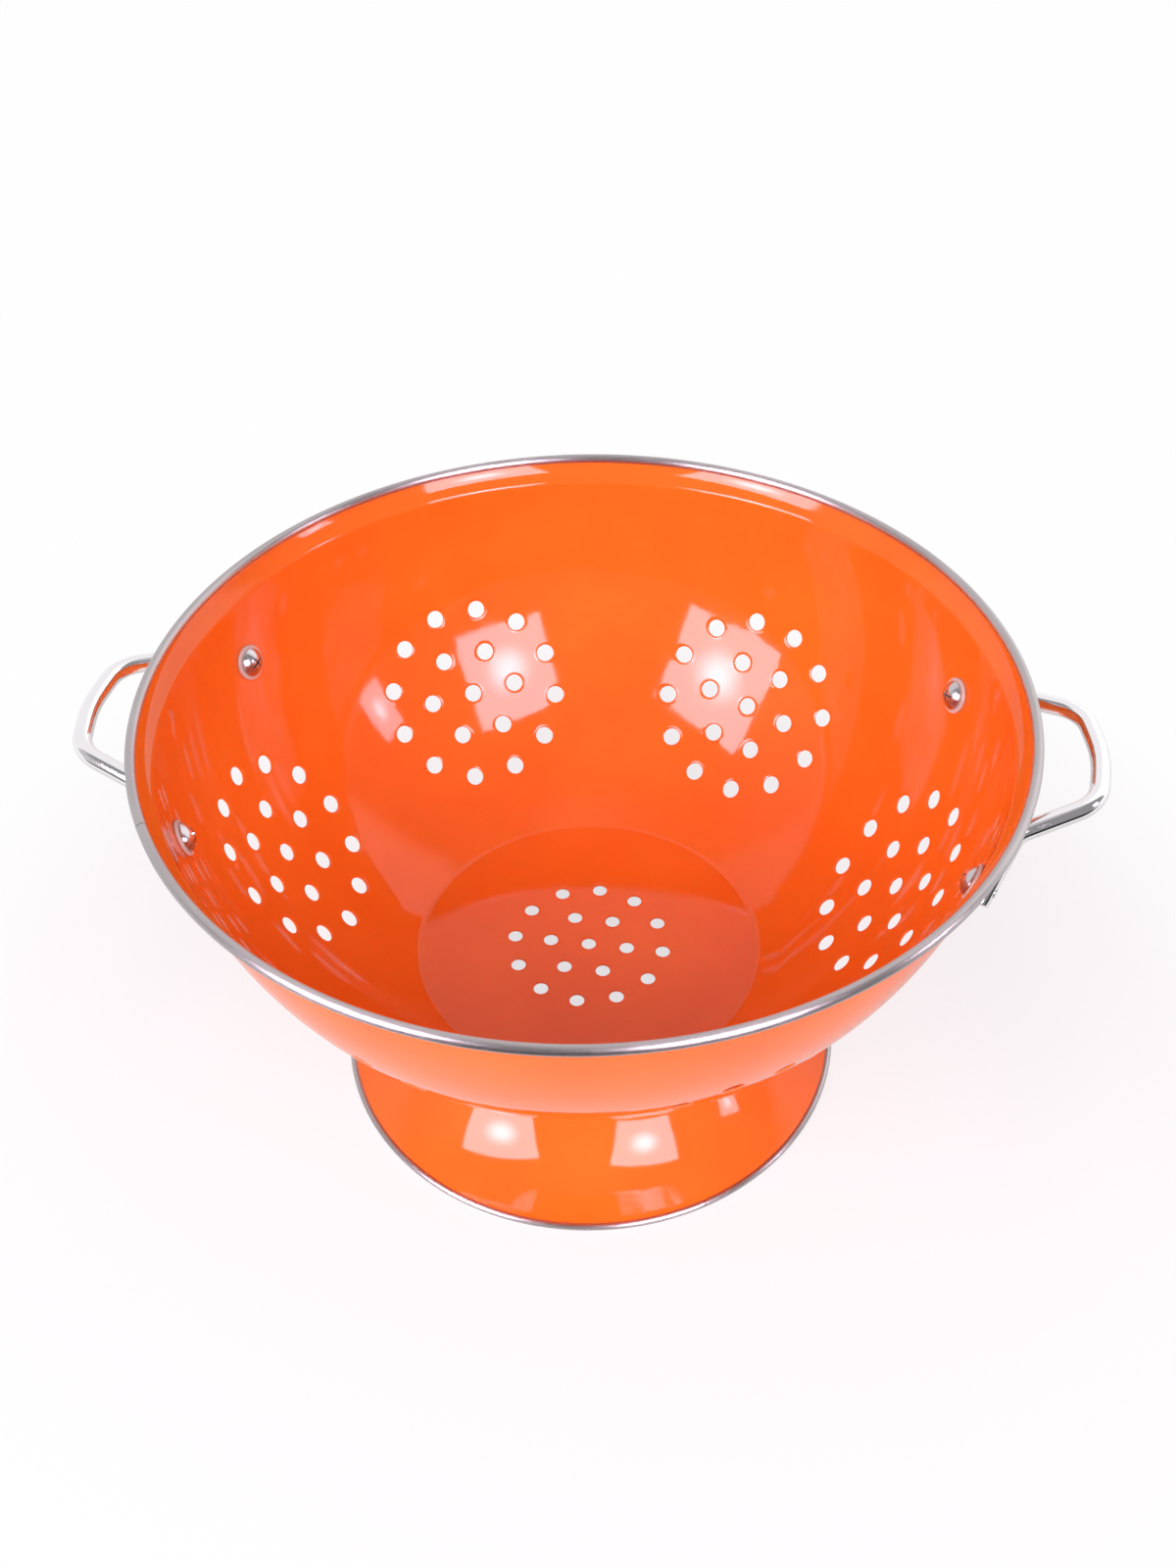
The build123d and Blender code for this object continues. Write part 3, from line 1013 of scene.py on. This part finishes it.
bpy.ops.object.select_all(action="DESELECT")
bpy.ops.mesh.primitive_plane_add(size=FLOOR_SIZE, location=(0, 0, 0))
floor = bpy.context.object
floor.name = "studio_floor"
paper = bpy.data.materials.new("white_paper")
paper.use_nodes = True
nodes, links = paper.node_tree.nodes, paper.node_tree.links
nodes.clear()
out = nodes.new("ShaderNodeOutputMaterial")
matte = nodes.new("ShaderNodeBsdfDiffuse")
matte.inputs["Color"].default_value = (*PAPER, 1)
rays = nodes.new("ShaderNodeLightPath")
place = nodes.new("ShaderNodeTexCoord").outputs["Object"]
away = distance_of(place)
far_off = soft_step(away, *MIRROR_REACH)
glow = nodes.new("ShaderNodeEmission")
clear = soft_step(away, *SHADOW_REACH)
links.new(blended(clear, GLOW_NEAR_SHADE_TINT, GLOW_FAR), glow.inputs["Color"])
past_paper = soft_step(length_along(place, (0, -1, 0)), *PAPER_FRONT)
# Mirrors see the glow dimmer near the object: painted shade of the bowl on the paper.
dimmed = joined("MULTIPLY", joined("SUBTRACT", 1.0, far_off), MIRROR_SHADE_DIM)
dimmed = joined("MAXIMUM", dimmed, joined("MULTIPLY", past_paper, FRONT_DIM))
dimmed = joined("MULTIPLY", rays.outputs["Is Glossy Ray"], dimmed)
links.new(joined("SUBTRACT", 1.0, dimmed), glow.inputs["Strength"])
seen = joined("MULTIPLY", rays.outputs["Is Camera Ray"],
              joined("ADD", joined("MULTIPLY", clear, CAMERA_SHARE[1]), CAMERA_SHARE[0]))
own_light = joined("ADD", joined("MULTIPLY", far_off, MIRROR_SHARE[1]), MIRROR_SHARE[0])
mirrored = joined("MULTIPLY", rays.outputs["Is Glossy Ray"],
                  joined("MAXIMUM", own_light, past_paper))
mix = nodes.new("ShaderNodeMixShader")
links.new(joined("ADD", seen, mirrored), mix.inputs["Fac"])
links.new(matte.outputs["BSDF"], mix.inputs[1])
links.new(glow.outputs["Emission"], mix.inputs[2])
links.new(mix.outputs["Shader"], out.inputs["Surface"])
floor.data.materials.append(paper)
print("floor laid")

# %% [markdown]
# Reflections tell what the room was like. The bowl's far wall mirrors the front of the room
# and stays a deep orange, so that side is dim, with a somewhat lighter ceiling and left wall.
# The chrome mirrors the back and is nearly white, a little brighter to the right. Two dot
# products and the height of each direction give that pattern. Each pair of values is where
# a soft edge begins and ends, from -1 to 1 along that direction.

# %% Directions in the room
world = bpy.data.worlds.new("studio_room")
bpy.context.scene.world = world
world.use_nodes = True
nodes, links = world.node_tree.nodes, world.node_tree.links
nodes.clear()
out = nodes.new("ShaderNodeOutputWorld")
direction = nodes.new("ShaderNodeTexCoord").outputs["Generated"]
split = nodes.new("ShaderNodeSeparateXYZ")
links.new(direction, split.inputs["Vector"])
upward = split.outputs["Z"]
behind = length_along(direction, (0, 1, 0))
rightward = length_along(direction, (1, 0, 0))
print("directions ready")

# %% Walls and ceiling as mirrors see them
BACK_EDGE = (0.05, 0.25)
BACK_TOP = (0.94, 0.99)
SIDE_EDGE = (-0.6, -0.2)
SKIRTING_TOP = (0.06, 0.25)
WINDOW_EDGE = (0.1, 0.6)
WINDOW_MORE = 0.45
LEFT_EDGE = (-0.85, -0.55)
CEILING_EDGE = (0.9, 0.97)
DIM_LEVEL = 0.29
DIM_MORE = 0.3
PALE_LEVEL = 0.95

back_wall = soft_step(behind, *BACK_EDGE)
high_up = soft_step(upward, *BACK_TOP)
back_wall = joined("MULTIPLY", back_wall, joined("SUBTRACT", 1.0, high_up))
sides = soft_step(behind, *SIDE_EDGE)
skirting = joined("SUBTRACT", 1.0, soft_step(upward, *SKIRTING_TOP))
pale = joined("MAXIMUM", back_wall, joined("MULTIPLY", skirting, sides))
window = joined("MULTIPLY", soft_step(rightward, *WINDOW_EDGE), WINDOW_MORE)
left_wall = joined("SUBTRACT", 1.0, soft_step(rightward, *LEFT_EDGE))
ceiling = soft_step(upward, *CEILING_EDGE)
lighter = joined("MULTIPLY", joined("MAXIMUM", left_wall, ceiling), DIM_MORE)
pale = joined("MULTIPLY", pale, joined("ADD", window, PALE_LEVEL))
level = joined("MAXIMUM", pale, joined("ADD", lighter, DIM_LEVEL))
print("walls and ceiling ready")

# %% [markdown]
# The world shows that pattern only to mirrors. Everything else gets an even soft fill, which
# keeps the shadows soft, and what the camera sees directly is plain white.

# %% World
FILL_LIGHT = 0.42
MIRROR_TINT = (1.0, 0.97, 1.0)
FILL_TINT = (1.0, 0.99, 1.0)
BACKDROP = (1.0, 0.985, 1.0)

mirror = nodes.new("ShaderNodeBackground")
mirror.inputs["Color"].default_value = (*MIRROR_TINT, 1)
links.new(level, mirror.inputs["Strength"])
soft = nodes.new("ShaderNodeBackground")
soft.inputs["Color"].default_value = (*FILL_TINT, 1)
soft.inputs["Strength"].default_value = FILL_LIGHT
white = nodes.new("ShaderNodeBackground")
white.inputs["Color"].default_value = (*BACKDROP, 1)
rays = nodes.new("ShaderNodeLightPath")
first = nodes.new("ShaderNodeMixShader")
links.new(rays.outputs["Is Glossy Ray"], first.inputs["Fac"])
links.new(soft.outputs["Background"], first.inputs[1])
links.new(mirror.outputs["Background"], first.inputs[2])
second = nodes.new("ShaderNodeMixShader")
links.new(rays.outputs["Is Camera Ray"], second.inputs["Fac"])
links.new(first.outputs["Shader"], second.inputs[1])
links.new(white.outputs["Background"], second.inputs[2])
links.new(second.outputs["Shader"], out.inputs["Surface"])
print("room ready")

# %% [markdown]
# ## Two soft lights
# Two square softboxes stand in front, one to each side, and both show as bright squares on
# the enamel. The lamps themselves are kept at a plain level and out of the reflections.
# A bright card in front of each gives the reflection its strength, because a glossy coat
# mirrors only about a thirtieth of what it faces, and its middle is the brightest, as the
# lamp behind the cloth makes it. A third, small card to the right adds its patch on the
# wall and on the foot, and no light. Each row of the list holds a name, azimuth and height
# in degrees, the distance, width and height in metres, and how bright the card looks.

# %% Softboxes
LIGHTS = [
    ("right", -62.1, 34.2, 1.1, 0.53, 0.50, 13.5),
    ("left", -140.2, 29.7, 1.1, 0.62, 0.54, 13.5),
    ("side", -14.6, 22.6, 1.1, 0.16, 0.24, 10.0),
]
LAMP_WATTS = {"right": 7.2, "left": 8.8}
AIM = Vector((0, 0, 0.1))
HOT_SPOT = 2.6
HOT_REACH = 0.32
CARD_TINT = (1.0, 0.82, 1.0)

for name, azimuth, height, away, wide, tall, bright in LIGHTS:
    world_turn = math.radians(azimuth + CAMERA_HEADING)
    up_angle = math.radians(height)
    spot = AIM + Vector((math.cos(world_turn) * math.cos(up_angle),
                         math.sin(world_turn) * math.cos(up_angle),
                         math.sin(up_angle))) * away
    look = (spot - AIM).to_track_quat("Z", "Y").to_euler()
    if name in LAMP_WATTS:
        bpy.ops.object.light_add(type="AREA", location=spot, rotation=look)
        lamp = bpy.context.object
        lamp.name = f"softbox_lamp_{name}"
        lamp.data.shape = "RECTANGLE"
        lamp.data.size = wide
        lamp.data.size_y = tall
        lamp.data.energy = LAMP_WATTS[name]
        lamp.visible_glossy = False
    bpy.ops.mesh.primitive_plane_add(size=1, location=spot, rotation=look)
    card = bpy.context.object
    card.name = f"softbox_card_{name}"
    card.scale = (wide, tall, 1)
    card.visible_camera = False
    card.visible_diffuse = False
    card.visible_shadow = False
    card.visible_transmission = False
    shine = bpy.data.materials.new(f"softbox_face_{name}")
    shine.use_nodes = True
    nodes, links = shine.node_tree.nodes, shine.node_tree.links
    nodes.clear()
    out = nodes.new("ShaderNodeOutputMaterial")
    face = nodes.new("ShaderNodeEmission")
    face.inputs["Color"].default_value = (*CARD_TINT, 1)
    place = nodes.new("ShaderNodeTexCoord").outputs["Object"]
    fall = soft_step(distance_of(place), 0.0, HOT_REACH)
    fall = joined("MULTIPLY", fall, bright * (HOT_SPOT - 1))
    links.new(joined("SUBTRACT", bright * HOT_SPOT, fall), face.inputs["Strength"])
    links.new(face.outputs["Emission"], out.inputs["Surface"])
    card.data.materials.append(shine)
    print("softbox", name, "at", [round(value, 2) for value in spot])

# %% [markdown]
# ## Looks of the whole picture
# The Standard view transform shows colours as they are written, so the enamel's orange
# comes out as the orange that was typed in.

bpy.context.scene.view_settings.view_transform = "Standard"
